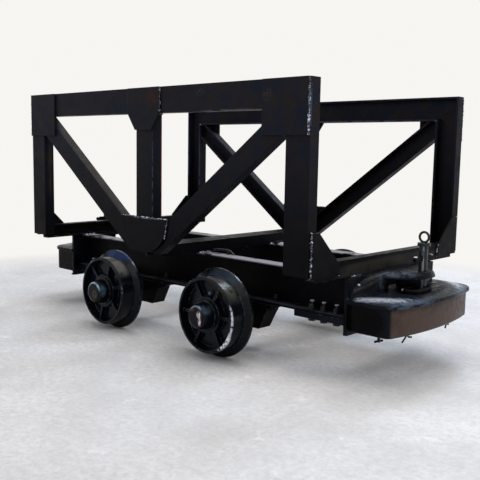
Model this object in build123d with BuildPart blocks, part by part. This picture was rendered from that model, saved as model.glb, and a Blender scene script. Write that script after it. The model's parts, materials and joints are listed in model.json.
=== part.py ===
from build123d import *
from dataclasses import dataclass
import math
import os

# Material car: two open trusses on a narrow-gauge chassis. Millimetres.
# +X runs along the track towards the front, +Y to the left side and +Z up. The origin is on the
# floor, below the middle of the car. Pieces are drawn on the right side (Y below 0) or at the front
# and mirrored to the other side.

# Whole car
half_length = 828.0        # outer face of the end posts
half_width = 525.0         # outer face of the truss webs
top_height = 1041.0        # top of the rails
wheelbase = 650.0

# Channel of the rails and posts
rail_height = 100.0
rail_flange = 48.0
rail_web = 5.3
rail_flange_thickness = 8.5

# Channel of the diagonals
diagonal_height = 80.0
diagonal_flange = 43.0
diagonal_web = 5.0
diagonal_flange_thickness = 8.0

# Channel of the end cross members
cross_height = 63.0
cross_flange = 40.0
cross_web = 4.8
cross_flange_thickness = 7.5

# Channel of the sills
sill_height = 160.0
sill_flange = 63.0
sill_web = 6.5
sill_flange_thickness = 10.0

# Trusses
member_rise = 23.0         # lower end of posts and diagonals, above the sills
diagonal_post_gap = 35.3   # along the rail, from an end post to a diagonal
diagonal_foot = 95.3       # from the middle of the car to a diagonal's lowest corner

# Plates lapped over the truss joints
lap_thickness = 9.0
corner_lap_inset = 6.0
corner_lap_length = 195.0
corner_lap_depth = 187.0
tee_half_width = 96.0
tee_drop = 65.0
foot_top_half = 142.0
foot_side_half = 128.0
foot_rise = 140.0
foot_side_rise = 67.0
foot_drop = 3.0

# Brackets between the end posts and the end cross members, with their widths from the outer edge
bracket_thickness = 8.0
bracket_inset = 21.0
bracket_top_width = 35.0
bracket_knee_width = 142.0
bracket_low_width = 159.0
bracket_base = 15.0
bracket_knee_rise = 52.0
bracket_rise = 156.0

# Chassis
sill_inner = 202.0         # inner face of the sill webs
sill_gap = 5.0             # between the axles and the sills
headstock_depth = 63.0
headstock_bar = 10.0
tie_place = 470.0
tie_rise = 35.0

# Wheels
wheel_flange_radius = 175.0
tread_radius = 150.0
wheel_face = 500.0         # outer face of a wheel, from the middle of the car
wheel_width = 92.0
flange_width = 27.0
flange_flat = 15.0
edge_bevel = 5.0
tread_cone = 2.0
rim_thickness = 18.0
disc_inset = 36.0
disc_thickness = 16.0
cast_draft = 4.0
hub_radius = 71.0
hub_inset = 10.0
hub_length = 102.0
rib_count = 6
rib_width = 12.0
rib_rise = 20.0

# Hub caps and axles
cap_radius = 54.0
cap_end_radius = 43.0
cap_length = 55.0
cap_lip = 4.0
cap_lip_thickness = 6.0
cap_round = 12.0
axle_radius = 25.0
axle_clearance = 0.05
axle_collar = 14.0
axle_collar_width = 16.0

# Pedestals that carry the axles below the sills
pedestal_inset = 3.0
pedestal_width = 72.0
pedestal_pad = 14.0
pedestal_pad_half = 145.0
pedestal_shoulder_half = 120.0
pedestal_shoulder_drop = 29.0
pedestal_foot_half = 80.0
pedestal_foot_drop = 75.0

# Cast buffers, with reaches measured from the front of the back plate
back_plate = 14.0
back_plate_half = 303.0
back_plate_drop = 47.0
brim_drop = 91.0           # from the top of the sills to the bottom of the brim
brim_thickness = 16.0
brim_half = 310.0
brim_reach = 216.0
brim_bow = 45.0
brim_corner = 90.0
brim_round = 5.0
lip_height = 12.0          # from the brim to the floor of the mouth
lip_inset = 9.0            # foot of the lip, from the edge of the brim
lip_half = 230.0
lip_reach = 154.0
lip_corner = 120.0
block_height = 102.0
block_half = 290.0
block_reach = 196.0
block_bow = 35.0
block_corner = 32.0
block_round = 8.0
dome_height = 84.0
dome_half = 300.0
dome_reach = 158.0
knee_half = 148.0          # where the sides of the dome turn into its nose
knee_reach = 44.0
side_bulge = 10.0
slot_height = 48.0
slot_back_half = 40.0
slot_throat = 4.0
slot_flare = 34.0
slot_flare_half = 138.0
slot_mouth_half = 257.0
tail_length = 253.0
tail_thickness = 23.0

# Coupling pins and links
pin_reach = 120.0
pin_radius = 16.0
pin_clearance = 0.5
pin_seat = 15.0            # casting below the end of a pin
pin_stand = 93.0           # from the top of the dome to the collar
collar_thickness = 11.0
collar_radius = 23.5
ring_radius = 18.5
ring_bar = 4.5
link_length = 150.0
link_width = 72.0
link_bar = 16.0
link_round = 6.0

wheel_centre = wheel_flange_radius
rail_bottom = top_height - rail_height
post_inner = half_length - rail_height
plate_face = half_length + back_plate
sill_bottom = wheel_centre + axle_radius + sill_gap
sill_top = sill_bottom + sill_height
sill_outer = sill_inner + sill_flange
member_bottom = sill_top + member_rise
flange_tip = half_width - rail_flange


@dataclass(frozen=True)
class Channel:
    """Rolled channel: height over the flanges, flange width, web and flange thickness."""
    height: float
    flange: float
    web: float
    thickness: float


rail_channel = Channel(rail_height, rail_flange, rail_web, rail_flange_thickness)
diagonal_channel = Channel(
    diagonal_height, diagonal_flange, diagonal_web, diagonal_flange_thickness
)
cross_channel = Channel(cross_height, cross_flange, cross_web, cross_flange_thickness)
sill_channel = Channel(sill_height, sill_flange, sill_web, sill_flange_thickness)

os.makedirs("parts", exist_ok=True)


def save(part, name):
    """Label a finished piece and write it under its own name."""
    part.label = name
    export_step(part, f"parts/{name}.step")


def save_sides(part, name):
    """Write a piece of the right side, and its mirror image for the left side."""
    save(part, f"right_{name}")
    save(mirror(part, about=Plane.XZ), f"left_{name}")


def save_ends(part, name):
    """Write a piece of the front end, and its mirror image for the rear end."""
    save(part, f"front_{name}")
    save(mirror(part, about=Plane.YZ), f"rear_{name}")


def outline(plane, points):
    """Closed outline of straight edges on a plane."""
    with BuildSketch(plane) as sketch:
        with BuildLine():
            Polyline(*points, close=True)
        make_face()
    return sketch.sketch


def crossing(first, second):
    """Point where two lines meet, each line given by two points."""
    (ax, az), (bx, bz) = first
    (cx, cz), (dx, dz) = second
    turn = (ax - bx) * (cz - dz) - (az - bz) * (cx - dx)
    one = ax * bz - az * bx
    two = cx * dz - cz * dx
    return (one * (cx - dx) - (ax - bx) * two) / turn, (one * (cz - dz) - (az - bz) * two) / turn


def beside(edge, distance):
    """The line of an edge moved to its left by a distance, seen along the edge."""
    (ax, az), (bx, bz) = edge
    length = math.hypot(bx - ax, bz - az)
    shift_x = -(bz - az) / length * distance
    shift_z = (bx - ax) / length * distance
    return (ax + shift_x, az + shift_z), (bx + shift_x, bz + shift_z)


def truss_member(corners, flange_edges, channel):
    """Channel in the right truss, web outwards. Corners run anticlockwise as (X, Z)."""
    extrude(outline(Plane.XZ.offset(half_width - channel.web), corners), amount=channel.web)
    count = len(corners)
    for k in flange_edges:
        start, end = corners[k], corners[(k + 1) % count]
        inner = beside((start, end), channel.thickness)
        inner_end = crossing(inner, (end, corners[(k + 2) % count]))
        inner_start = crossing(inner, (corners[k - 1], start))
        flange_corners = [start, end, inner_end, inner_start]
        flange_plane = Plane.XZ.offset(half_width - channel.flange)
        extrude(outline(flange_plane, flange_corners), amount=channel.flange)


# Top rails, mitred into the end posts
with BuildPart() as top_rail:
    rail_corners = [
        (-post_inner, rail_bottom),
        (post_inner, rail_bottom),
        (half_length, top_height),
        (-half_length, top_height),
    ]
    truss_member(rail_corners, (0, 2), rail_channel)
save_sides(top_rail.part, "top_rail")

# End posts
with BuildPart() as end_posts:
    post_corners = [
        (post_inner, member_bottom),
        (half_length, member_bottom),
        (half_length, top_height),
        (post_inner, rail_bottom),
    ]
    truss_member(post_corners, (1, 3), rail_channel)
    mirror(about=Plane.YZ)
save_sides(end_posts.part, "end_posts")

# Middle posts
half_post = rail_height / 2
with BuildPart() as middle_post:
    middle_corners = [
        (-half_post, member_bottom),
        (half_post, member_bottom),
        (half_post, rail_bottom),
        (-half_post, rail_bottom),
    ]
    truss_member(middle_corners, (1, 3), rail_channel)
save_sides(middle_post.part, "middle_post")

# Diagonals, from the foot of the middle post to the upper corners
rail_point = (post_inner - diagonal_post_gap, rail_bottom)
run = rail_point[0] - diagonal_foot
rise = rail_bottom - member_bottom
lean = math.atan2(rise, run) - math.asin(diagonal_height / math.hypot(run, rise))
upper_edge = (rail_point, (rail_point[0] - math.cos(lean), rail_point[1] - math.sin(lean)))
lower_edge = beside(upper_edge, diagonal_height)
post_line = ((post_inner, 0), (post_inner, 1))
middle_line = ((half_post, 0), (half_post, 1))
bottom_line = ((0, member_bottom), (1, member_bottom))
with BuildPart() as diagonals:
    diagonal_corners = [
        crossing(lower_edge, bottom_line),
        crossing(lower_edge, post_line),
        (post_inner, rail_bottom),
        rail_point,
        crossing(upper_edge, middle_line),
        (half_post, member_bottom),
    ]
    truss_member(diagonal_corners, (0, 3), diagonal_channel)
    mirror(about=Plane.YZ)
save_sides(diagonals.part, "diagonals")

# Plates lapped over the joints of each truss
with BuildPart() as joint_plates:
    lap_plane = Plane.XZ.offset(half_width)
    corner_lap_end = half_length - corner_lap_inset
    corner_lap_start = corner_lap_end - corner_lap_length
    corner_lap_bottom = top_height - corner_lap_depth
    corner_lap = [
        (corner_lap_start, corner_lap_bottom),
        (corner_lap_end, corner_lap_bottom),
        (corner_lap_end, top_height),
        (corner_lap_start, top_height),
    ]
    extrude(outline(lap_plane, corner_lap), amount=lap_thickness)
    mirror(about=Plane.YZ)
    tee_lap = [
        (-half_post, rail_bottom - tee_drop),
        (half_post, rail_bottom - tee_drop),
        (tee_half_width, rail_bottom),
        (tee_half_width, top_height),
        (-tee_half_width, top_height),
        (-tee_half_width, rail_bottom),
    ]
    extrude(outline(lap_plane, tee_lap), amount=lap_thickness)
    foot_side = member_bottom + foot_side_rise
    foot_top = member_bottom + foot_rise
    with BuildSketch(lap_plane):
        with BuildLine():
            ThreePointArc(
                (-foot_side_half, foot_side),
                (0, member_bottom - foot_drop),
                (foot_side_half, foot_side),
            )
            Polyline(
                (foot_side_half, foot_side),
                (foot_top_half, foot_top),
                (-foot_top_half, foot_top),
                (-foot_side_half, foot_side),
            )
        make_face()
    extrude(amount=lap_thickness)
save_sides(joint_plates.part, "joint_plates")

# Brackets that stiffen the corners between the end posts and the end cross members
with BuildPart() as brackets:
    bracket_edge = -half_width + bracket_inset
    bracket_bottom = sill_top + bracket_base
    bracket_outline = [
        (bracket_edge, bracket_bottom),
        (bracket_edge + bracket_low_width, bracket_bottom),
        (bracket_edge + bracket_knee_width, bracket_bottom + bracket_knee_rise),
        (bracket_edge + bracket_top_width, bracket_bottom + bracket_rise),
        (bracket_edge, bracket_bottom + bracket_rise),
    ]
    extrude(outline(Plane.YZ.offset(half_length), bracket_outline), amount=bracket_thickness)
    mirror(about=Plane.XZ)
save_ends(brackets.part, "brackets")


def channel_points(channel, web_side, flange_side, bottom):
    """Outline of an upright channel as (sideways, Z), from its web's face to its flange tips."""
    way = 1 if flange_side > web_side else -1
    inside = web_side + way * channel.web
    top = bottom + channel.height
    return [
        (web_side, bottom),
        (flange_side, bottom),
        (flange_side, bottom + channel.thickness),
        (inside, bottom + channel.thickness),
        (inside, top - channel.thickness),
        (flange_side, top - channel.thickness),
        (flange_side, top),
        (web_side, top),
    ]


# End cross members, web outwards, on the ends of the sills
with BuildPart() as end_cross:
    end_points = channel_points(
        cross_channel, half_length, half_length - cross_flange, sill_top
    )
    extrude(outline(Plane.XZ, end_points), amount=flange_tip, both=True)
save_ends(end_cross.part, "cross_member")

# Middle cross member, web upwards
with BuildPart() as middle_cross:
    middle_top = sill_top + rail_flange
    inside_half = half_post - rail_flange_thickness
    middle_points = [
        (-half_post, sill_top),
        (-inside_half, sill_top),
        (-inside_half, middle_top - rail_web),
        (inside_half, middle_top - rail_web),
        (inside_half, sill_top),
        (half_post, sill_top),
        (half_post, middle_top),
        (-half_post, middle_top),
    ]
    extrude(outline(Plane.XZ, middle_points), amount=flange_tip, both=True)
save(middle_cross.part, "middle_cross_member")

# Sills, flanges outwards
with BuildPart() as sill:
    sill_points = channel_points(sill_channel, -sill_inner, -sill_outer, sill_bottom)
    extrude(outline(Plane.YZ, sill_points), amount=half_length, both=True)
save_sides(sill.part, "sill")

# Headstocks: a bar above and a bar below, between the ends of the sills
with BuildPart() as headstock:
    for bar_bottom in (sill_bottom, sill_top - headstock_bar):
        with BuildSketch(Plane.XY.offset(bar_bottom)):
            with Locations((half_length - headstock_depth / 2, 0)):
                Rectangle(headstock_depth, 2 * sill_inner)
        extrude(amount=headstock_bar)
save_ends(headstock.part, "headstock")

# Ties between the sills, inboard of the headstocks
with BuildPart() as ties:
    tie_points = channel_points(
        rail_channel, tie_place, tie_place - rail_flange, sill_bottom + tie_rise
    )
    extrude(outline(Plane.XZ, tie_points), amount=sill_inner, both=True)
    mirror(about=Plane.YZ)
save(ties.part, "sill_ties")

# Pedestals
with BuildPart() as pedestal:
    axle_place = wheelbase / 2
    pedestal_inner = sill_inner + pedestal_inset
    pedestal_foot = wheel_centre - pedestal_foot_drop
    pedestal_shoulder = sill_bottom - pedestal_shoulder_drop
    pedestal_points = [
        (axle_place - pedestal_foot_half, pedestal_foot),
        (axle_place + pedestal_foot_half, pedestal_foot),
        (axle_place + pedestal_shoulder_half, pedestal_shoulder),
        (axle_place + pedestal_shoulder_half, sill_bottom - pedestal_pad),
        (axle_place + pedestal_pad_half, sill_bottom - pedestal_pad),
        (axle_place + pedestal_pad_half, sill_bottom),
        (axle_place - pedestal_pad_half, sill_bottom),
        (axle_place - pedestal_pad_half, sill_bottom - pedestal_pad),
        (axle_place - pedestal_shoulder_half, sill_bottom - pedestal_pad),
        (axle_place - pedestal_shoulder_half, pedestal_shoulder),
    ]
    extrude(outline(Plane.XZ.offset(pedestal_inner), pedestal_points), amount=pedestal_width)
    with BuildSketch(Plane.XZ.offset(pedestal_inner)):
        with Locations((axle_place, wheel_centre)):
            Circle(axle_radius + axle_clearance)
    extrude(amount=pedestal_width, mode=Mode.SUBTRACT)
front_left_pedestal = mirror(pedestal.part, about=Plane.XZ)
save_ends(pedestal.part, "right_pedestal")
save_ends(front_left_pedestal, "left_pedestal")


def turned(centre, side, points):
    """Turn an outline about an axle. Its points are (distance from the middle plane, radius)."""
    plane = Plane(origin=(centre, 0, wheel_centre), x_dir=(0, side, 0), z_dir=(1, 0, 0))
    profile = outline(plane, [(place, side * radius) for place, radius in points])
    revolve(profile, axis=Axis((centre, 0, wheel_centre), (0, 1, 0)))


wheel_back = wheel_face - wheel_width
disc_face = wheel_face - disc_inset
disc_back = disc_face - disc_thickness
hub_face = wheel_face - hub_inset
hub_back = hub_face - hub_length
rim_inner_radius = tread_radius - rim_thickness
wheel_section = [
    (hub_back, 0),
    (hub_back, hub_radius - 2 * cast_draft),
    (disc_back, hub_radius - cast_draft),
    (disc_back, rim_inner_radius - cast_draft),
    (wheel_back, rim_inner_radius),
    (wheel_back, wheel_flange_radius - edge_bevel),
    (wheel_back + edge_bevel, wheel_flange_radius),
    (wheel_back + flange_flat, wheel_flange_radius),
    (wheel_back + flange_width, tread_radius),
    (wheel_face - edge_bevel, tread_radius - tread_cone),
    (wheel_face, tread_radius - tread_cone - edge_bevel),
    (wheel_face, rim_inner_radius + cast_draft),
    (disc_face, rim_inner_radius - cast_draft),
    (disc_face, hub_radius + cast_draft),
    (hub_face, hub_radius),
    (hub_face, 0),
]
cap_end = hub_face + cap_length
cap_section = [
    (hub_face, 0),
    (hub_face, cap_radius + cap_lip),
    (hub_face + cap_lip_thickness, cap_radius + cap_lip),
    (hub_face + cap_lip_thickness, cap_radius),
    (cap_end - cap_round, cap_end_radius + cap_round / 4),
    (cap_end - cap_round / 3, cap_end_radius),
    (cap_end, cap_end_radius - cap_round * 2 / 3),
    (cap_end, 0),
]
axle_collar_radius = axle_radius + axle_collar
axle_collar_place = hub_back - axle_collar_width
axle_section = [
    (-hub_back, 0),
    (-hub_back, axle_collar_radius),
    (-axle_collar_place, axle_collar_radius),
    (-axle_collar_place, axle_radius),
    (axle_collar_place, axle_radius),
    (axle_collar_place, axle_collar_radius),
    (hub_back, axle_collar_radius),
    (hub_back, 0),
]

# Wheelsets: name, place along the car and the angle to which the ribs have rolled
wheelsets = [
    ("front", wheelbase / 2, 0.0),
    ("rear", -wheelbase / 2, 15.0),
]
for end_name, centre, rib_angle in wheelsets:
    with BuildPart() as axle:
        turned(centre, 1, axle_section)
    save(axle.part, f"{end_name}_axle")
    for side_name, side in (("right", -1), ("left", 1)):
        with BuildPart() as wheel:
            turned(centre, side, wheel_section)
            disc_plane = Plane(
                origin=(centre, side * disc_face, wheel_centre),
                x_dir=(1, 0, 0),
                z_dir=(0, side, 0),
            )
            rib_length = rim_inner_radius - hub_radius
            rib_middle = (rim_inner_radius + hub_radius) / 2
            with BuildSketch(disc_plane):
                with PolarLocations(rib_middle, rib_count, start_angle=rib_angle):
                    Rectangle(rib_length, rib_width)
            extrude(amount=rib_rise)
        save(wheel.part, f"{end_name}_{side_name}_wheel")
        with BuildPart() as cap:
            turned(centre, side, cap_section)
        save(cap.part, f"{end_name}_{side_name}_hub_cap")


head_back = plate_face - back_plate / 2
brim_bottom = sill_top - brim_drop
brim_top = brim_bottom + brim_thickness
lip_top = brim_top + lip_height
block_bottom = brim_bottom - block_height
dome_top = brim_top + dome_height

# Lip levels, as shares of its height and of the way in from the foot to the floor of the mouth
lip_levels = [
    (0.00, 0.00),
    (0.62, 0.42),
    (1.00, 1.00),
]

# Dome levels, as shares of its height, of its half width, of its knee and of its reach
dome_levels = [
    (0.00, 1.00, 1.00, 1.00),
    (0.28, 0.95, 1.00, 0.99),
    (0.57, 0.82, 0.97, 0.98),
    (0.76, 0.67, 0.91, 0.97),
    (0.90, 0.50, 0.78, 0.955),
    (1.00, 0.32, 0.54, 0.92),
]


def squared_head(height, half, reach, bow, corner):
    """Plan of the brim or the block at one height: a bowed front with rounded corners."""
    front = plate_face + reach
    with BuildSketch(Plane.XY.offset(height)) as plan:
        with BuildLine():
            Polyline((front - bow, half), (head_back, half), (head_back, -half), (front - bow, -half))
            ThreePointArc((front - bow, -half), (front, 0), (front - bow, half))
        make_face()
        fillet(plan.vertices().group_by(Axis.X)[-1], radius=corner)
    return plan.sketch


def between(start, end, share):
    """Value at a share of the way from start to end."""
    return start + (end - start) * share


def nosed_head(height, half, knee_width, reach, bulge):
    """Plan of the dome at one height: shallow sides that turn at their knees into a round nose."""
    front = plate_face + reach
    knee = plate_face + knee_reach
    side = math.hypot(knee - head_back, half - knee_width)
    shoulder = (
        (head_back + knee) / 2 + bulge * (half - knee_width) / side,
        (half + knee_width) / 2 + bulge * (knee - head_back) / side,
    )
    with BuildSketch(Plane.XY.offset(height)) as plan:
        with BuildLine():
            Line((head_back, half), (head_back, -half))
            ThreePointArc((head_back, -half), (shoulder[0], -shoulder[1]), (knee, -knee_width))
            ThreePointArc((knee, -knee_width), (front, 0), (knee, knee_width))
            ThreePointArc((knee, knee_width), shoulder, (head_back, half))
        make_face()
    return plan.sketch


pin_place = plate_face + pin_reach
pin_bottom = block_bottom + pin_seat

# Buffer heads
with BuildPart() as buffer:
    brim_plan = squared_head(brim_bottom, brim_half, brim_reach, brim_bow, brim_corner)
    extrude(brim_plan, amount=brim_thickness)
    brim_edges = buffer.edges().group_by(Axis.Z)
    fillet(brim_edges[0] + brim_edges[-1], radius=brim_round)
    # Block with the wearing face
    block_plan = squared_head(block_bottom, block_half, block_reach, block_bow, block_corner)
    extrude(block_plan, amount=block_height)
    fillet(buffer.edges().group_by(Axis.Z)[0], radius=block_round)
    # Lip that rises from the edge of the brim to the mouth
    loft(
        [
            squared_head(
                brim_top + up * lip_height,
                between(brim_half - lip_inset, lip_half, inward),
                between(brim_reach - lip_inset, lip_reach, inward),
                brim_bow,
                between(brim_corner - lip_inset, lip_corner, inward),
            )
            for up, inward in lip_levels
        ]
    )
    # Dome
    loft(
        [
            nosed_head(
                brim_top + up * dome_height,
                along * dome_half,
                knee * knee_half,
                out * dome_reach,
                along * side_bulge,
            )
            for up, along, knee, out in dome_levels
        ]
    )
    # Back plate
    plate_bottom = sill_bottom - back_plate_drop
    with BuildSketch(Plane.YZ.offset(half_length)):
        with Locations((0, (plate_bottom + sill_top) / 2)):
            Rectangle(2 * back_plate_half, sill_top - plate_bottom)
    extrude(amount=back_plate)
    # Tail arms, bolted below the sills
    tail_start = half_length - tail_length
    with BuildSketch(Plane.XY.offset(sill_bottom - tail_thickness)):
        for side in (-1, 1):
            with Locations(((tail_start + plate_face) / 2, side * (sill_inner + sill_outer) / 2)):
                Rectangle(plate_face - tail_start, sill_flange)
    extrude(amount=tail_thickness)
    # Mouth for the link, narrow at the back and wide at the front
    throat_end = plate_face + slot_throat
    flare_end = throat_end + slot_flare
    mouth_end = plate_face + brim_reach
    mouth_points = [
        (half_length, -slot_back_half),
        (throat_end, -slot_back_half),
        (flare_end, -slot_flare_half),
        (mouth_end, -slot_mouth_half),
        (mouth_end, slot_mouth_half),
        (flare_end, slot_flare_half),
        (throat_end, slot_back_half),
        (half_length, slot_back_half),
    ]
    mouth = outline(Plane.XY.offset(lip_top), mouth_points)
    extrude(mouth, amount=slot_height, mode=Mode.SUBTRACT)
    # Hole for the pin, through the roof of the mouth and down into the block
    with BuildSketch(Plane.XY.offset(pin_bottom)):
        with Locations((pin_place, 0)):
            Circle(pin_radius + pin_clearance)
    extrude(amount=dome_top - pin_bottom, mode=Mode.SUBTRACT)
save_ends(buffer.part, "buffer")

# Coupling pins with a collar and a ring to lift them by
with BuildPart() as pin:
    collar_height = dome_top + pin_stand
    with BuildSketch(Plane.XY.offset(pin_bottom)):
        with Locations((pin_place, 0)):
            Circle(pin_radius)
    extrude(amount=collar_height - pin_bottom)
    with BuildSketch(Plane.XY.offset(collar_height)):
        with Locations((pin_place, 0)):
            Circle(collar_radius)
    extrude(amount=collar_thickness)
    ring_centre = collar_height + collar_thickness + ring_radius + ring_bar / 2
    with Locations((pin_place, 0, ring_centre)):
        Torus(ring_radius, ring_bar, rotation=(90, 0, 0))
save_ends(pin.part, "coupling_pin")

# Coupling links, lying in the mouths around the pins
with BuildPart() as link:
    link_middle = (link_length - link_width) / 2
    with BuildSketch(Plane.XY.offset(lip_top)):
        with Locations((pin_place, -link_middle)):
            SlotOverall(link_length, link_width, rotation=90)
            SlotOverall(
                link_length - 2 * link_bar,
                link_width - 2 * link_bar,
                rotation=90,
                mode=Mode.SUBTRACT,
            )
    extrude(amount=link_bar)
    link_edges = link.edges().group_by(Axis.Z)
    fillet(link_edges[0] + link_edges[-1], radius=link_round)
save_ends(link.part, "coupling_link")
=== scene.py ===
import json
import logging
import math
from dataclasses import dataclass, replace
from enum import Enum
from functools import cached_property, partial, reduce
from typing import Any, Iterable, Self, Sequence

import bmesh
import bpy
from mathutils import Matrix, Vector


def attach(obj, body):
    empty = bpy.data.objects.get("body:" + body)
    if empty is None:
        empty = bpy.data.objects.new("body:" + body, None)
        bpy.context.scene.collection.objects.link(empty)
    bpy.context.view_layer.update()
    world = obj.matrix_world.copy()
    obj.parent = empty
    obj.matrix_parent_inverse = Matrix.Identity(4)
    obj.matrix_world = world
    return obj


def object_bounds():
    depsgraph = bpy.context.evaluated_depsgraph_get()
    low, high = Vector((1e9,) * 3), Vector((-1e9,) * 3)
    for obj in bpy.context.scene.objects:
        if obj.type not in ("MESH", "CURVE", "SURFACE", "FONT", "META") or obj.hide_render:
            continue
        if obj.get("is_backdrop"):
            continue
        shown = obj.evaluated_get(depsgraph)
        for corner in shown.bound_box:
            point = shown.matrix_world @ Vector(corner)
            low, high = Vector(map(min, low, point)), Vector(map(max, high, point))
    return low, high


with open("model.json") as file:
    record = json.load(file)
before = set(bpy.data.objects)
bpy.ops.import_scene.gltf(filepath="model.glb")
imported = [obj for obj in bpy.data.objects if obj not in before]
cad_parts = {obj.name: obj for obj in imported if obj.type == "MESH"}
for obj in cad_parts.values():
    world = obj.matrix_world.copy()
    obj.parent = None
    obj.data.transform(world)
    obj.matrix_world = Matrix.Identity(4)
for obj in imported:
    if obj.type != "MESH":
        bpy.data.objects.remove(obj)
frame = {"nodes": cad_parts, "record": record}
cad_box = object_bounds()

Socket = bpy.types.NodeSocket
Material = bpy.types.Material
World = bpy.types.World
Piece = bpy.types.Object
Triple = tuple[float, float, float]
Point = Triple
Colour = Triple
Span = tuple[float, float]
Path = Sequence[Point]
Seam = tuple[float, Path]

log = logging.getLogger("material_car")

CAR = "car"
WELD_SPACING = 0.0042
WELD_JITTER = (0.78, 1.22)
EDGE_STEPS = 2
ROD_STEPS = (5, 6)
ROD_ORDER = 3


class Side(Enum):
    """Side of the car, as the sign of Y."""
    RIGHT = -1
    LEFT = 1


class End(Enum):
    """End of the car, as the sign of X."""
    FRONT = 1
    REAR = -1

    @property
    def word(self) -> str:
        """The end as the nodes' names say it."""
        return self.name.lower()


def added(first: Point, second: Point) -> Point:
    """Sum of two points."""
    return tuple(a + b for a, b in zip(first, second))


# Node trees

class Tree:
    """Node tree with short calls for what repeats."""

    def __init__(self, tree: bpy.types.NodeTree) -> None:
        """Wrap a tree."""
        self.tree = tree

    def add(
        self, kind: str, inputs: dict[str | int, Any] | None = None, **settings: Any
    ) -> bpy.types.Node:
        """Add a node.

        Args:
            kind: Blender's own name of the node.
            inputs: Values, colours or linked sockets, by input name or number.
            **settings: Properties of the node itself.

        Returns:
            The new node.
        """
        made = self.tree.nodes.new(kind)
        for key, value in settings.items():
            setattr(made, key, value)
        for key, value in (inputs or {}).items():
            socket = made.inputs[key]
            if isinstance(value, Socket):
                self.tree.links.new(value, socket)
            else:
                socket.default_value = (*value, 1.0) if socket.type == "RGBA" else value
        return made

    def math(self, operation: str, *values: Socket | float) -> Socket:
        """Result of one step of arithmetic."""
        made = self.add("ShaderNodeMath", dict(enumerate(values)), operation=operation)
        return made.outputs[0]

    def product(self, *values: Socket | float) -> Socket:
        """Product of values, taken in order."""
        return reduce(partial(self.math, "MULTIPLY"), values)


class ShaderTree(Tree):
    """Tree of a material or of the world, with the colour that its layers have reached."""

    def __init__(self, owner: Material | World, colour: Colour = (0.0, 0.0, 0.0)) -> None:
        """Empty the tree of its owner.

        Args:
            owner: The material or the world.
            colour: Colour below every layer.
        """
        owner.use_nodes = True
        super().__init__(owner.node_tree)
        self.tree.nodes.clear()
        self.colour: Socket | Colour = colour
        kind = type(owner).__name__
        self.surface = self.add(f"ShaderNodeOutput{kind}").inputs["Surface"]

    @cached_property
    def place(self) -> Socket:
        """Place on the piece."""
        return self.add("ShaderNodeTexCoord").outputs["Object"]

    @cached_property
    def normal(self) -> Socket:
        """Direction that each face looks in."""
        return self.add("ShaderNodeTexCoord").outputs["Normal"]

    def mapped(self, value: Socket, source: Span, target: Span = (0.0, 1.0)) -> Socket:
        """Value brought from one range to another and kept inside it."""
        inputs = dict(enumerate((value, *source, *target)))
        return self.add("ShaderNodeMapRange", inputs, clamp=True).outputs["Result"]

    def cover(self, share: Socket, colour: Colour) -> None:
        """Lay a share of another colour over the colour so far."""
        inputs = {0: share, 6: self.colour, 7: colour}
        self.colour = self.add("ShaderNodeMix", inputs, data_type="RGBA").outputs[2]

    def noise(
        self, scale: float, detail: float, roughness: float, place: Socket | None = None
    ) -> Socket:
        """Noise of about 0.3 to 0.7 over the piece, with its lumps for each metre as scale."""
        inputs = {"Scale": scale, "Detail": detail, "Roughness": roughness}
        return self.add("ShaderNodeTexNoise", {"Vector": place or self.place, **inputs}).outputs[0]

    def vector(self, operation: str, first: Socket, second: Point) -> Socket:
        """Result of one step of vector arithmetic."""
        made = self.add("ShaderNodeVectorMath", {0: first, 1: second}, operation=operation)
        return made.outputs[0]

    def length(self, vector: Socket) -> Socket:
        """Length of a vector."""
        made = self.add("ShaderNodeVectorMath", {0: vector}, operation="LENGTH")
        return made.outputs["Value"]

    def part(self, vector: Socket, axis: str) -> Socket:
        """One part of a vector, named X, Y or Z."""
        return self.add("ShaderNodeSeparateXYZ", {0: vector}).outputs[axis]

    def far(self, vector: Socket, axis: str) -> Socket:
        """One part of a vector, without its sign."""
        return self.math("ABSOLUTE", self.part(vector, axis))

    def seen(self) -> Socket:
        """Whether a ray shows the backdrop: seen straight, in gloss or through glass.

        Returns:
            The socket, 0 or 1.
        """
        path = self.add("ShaderNodeLightPath").outputs
        rays = (path[f"Is {kind} Ray"] for kind in ("Camera", "Glossy", "Transmission"))
        return reduce(partial(self.math, "MAXIMUM"), rays)

    def finish(self, shader: bpy.types.Node) -> None:
        """Show a shader on the surface."""
        self.tree.links.new(shader.outputs[0], self.surface)


# Finishes

@dataclass(frozen=True)
class Blotches:
    """Layer of noise, cut to a band of its values."""
    scale: float
    detail: float
    roughness: float
    band: Span
    shares: Span = (0.0, 1.0)

    def value(self, tree: ShaderTree) -> Socket:
        """Noise before it is cut."""
        return tree.noise(self.scale, self.detail, self.roughness)

    def share(self, tree: ShaderTree) -> Socket:
        """How far the layer covers each place."""
        return tree.mapped(self.value(tree), self.band, self.shares)


@dataclass(frozen=True)
class Mark:
    """Patch of another tint, soft at its border and broken up by noise."""
    centre: Point
    reach: Point
    colour: Colour
    cover: float = 0.5
    grain: float = 60.0
    stretch: Point = (1.0, 1.0, 1.0)
    soft: float = 0.05
    border: float = 0.55
    # Noise level at which each mark breaks up; the marks hold wear, tints and painted light
    bare_level: float = 0.62
    cover_gain: float = 0.24
    noise: Span = (4.0, 0.65)

    def share(self, tree: ShaderTree) -> Socket:
        """How far the mark covers each place.

        Args:
            tree: Tree of the material.

        Returns:
            The socket of the share, 0 to 1.
        """
        shift = tree.vector("SUBTRACT", tree.place, self.centre)
        scaled = tree.vector("DIVIDE", shift, self.reach)
        near = tree.mapped(tree.length(scaled), (1.0, self.border))
        drawn = tree.vector("MULTIPLY", tree.place, self.stretch)
        value = tree.noise(self.grain, *self.noise, drawn)
        level = self.bare_level - self.cover_gain * self.cover
        torn = tree.mapped(value, (level - self.soft / 2, level + self.soft / 2))
        return tree.product(near, torn)

    def moved(self, shift: Point) -> Self:
        """The same mark in another place."""
        return replace(self, centre=added(self.centre, shift))


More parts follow.
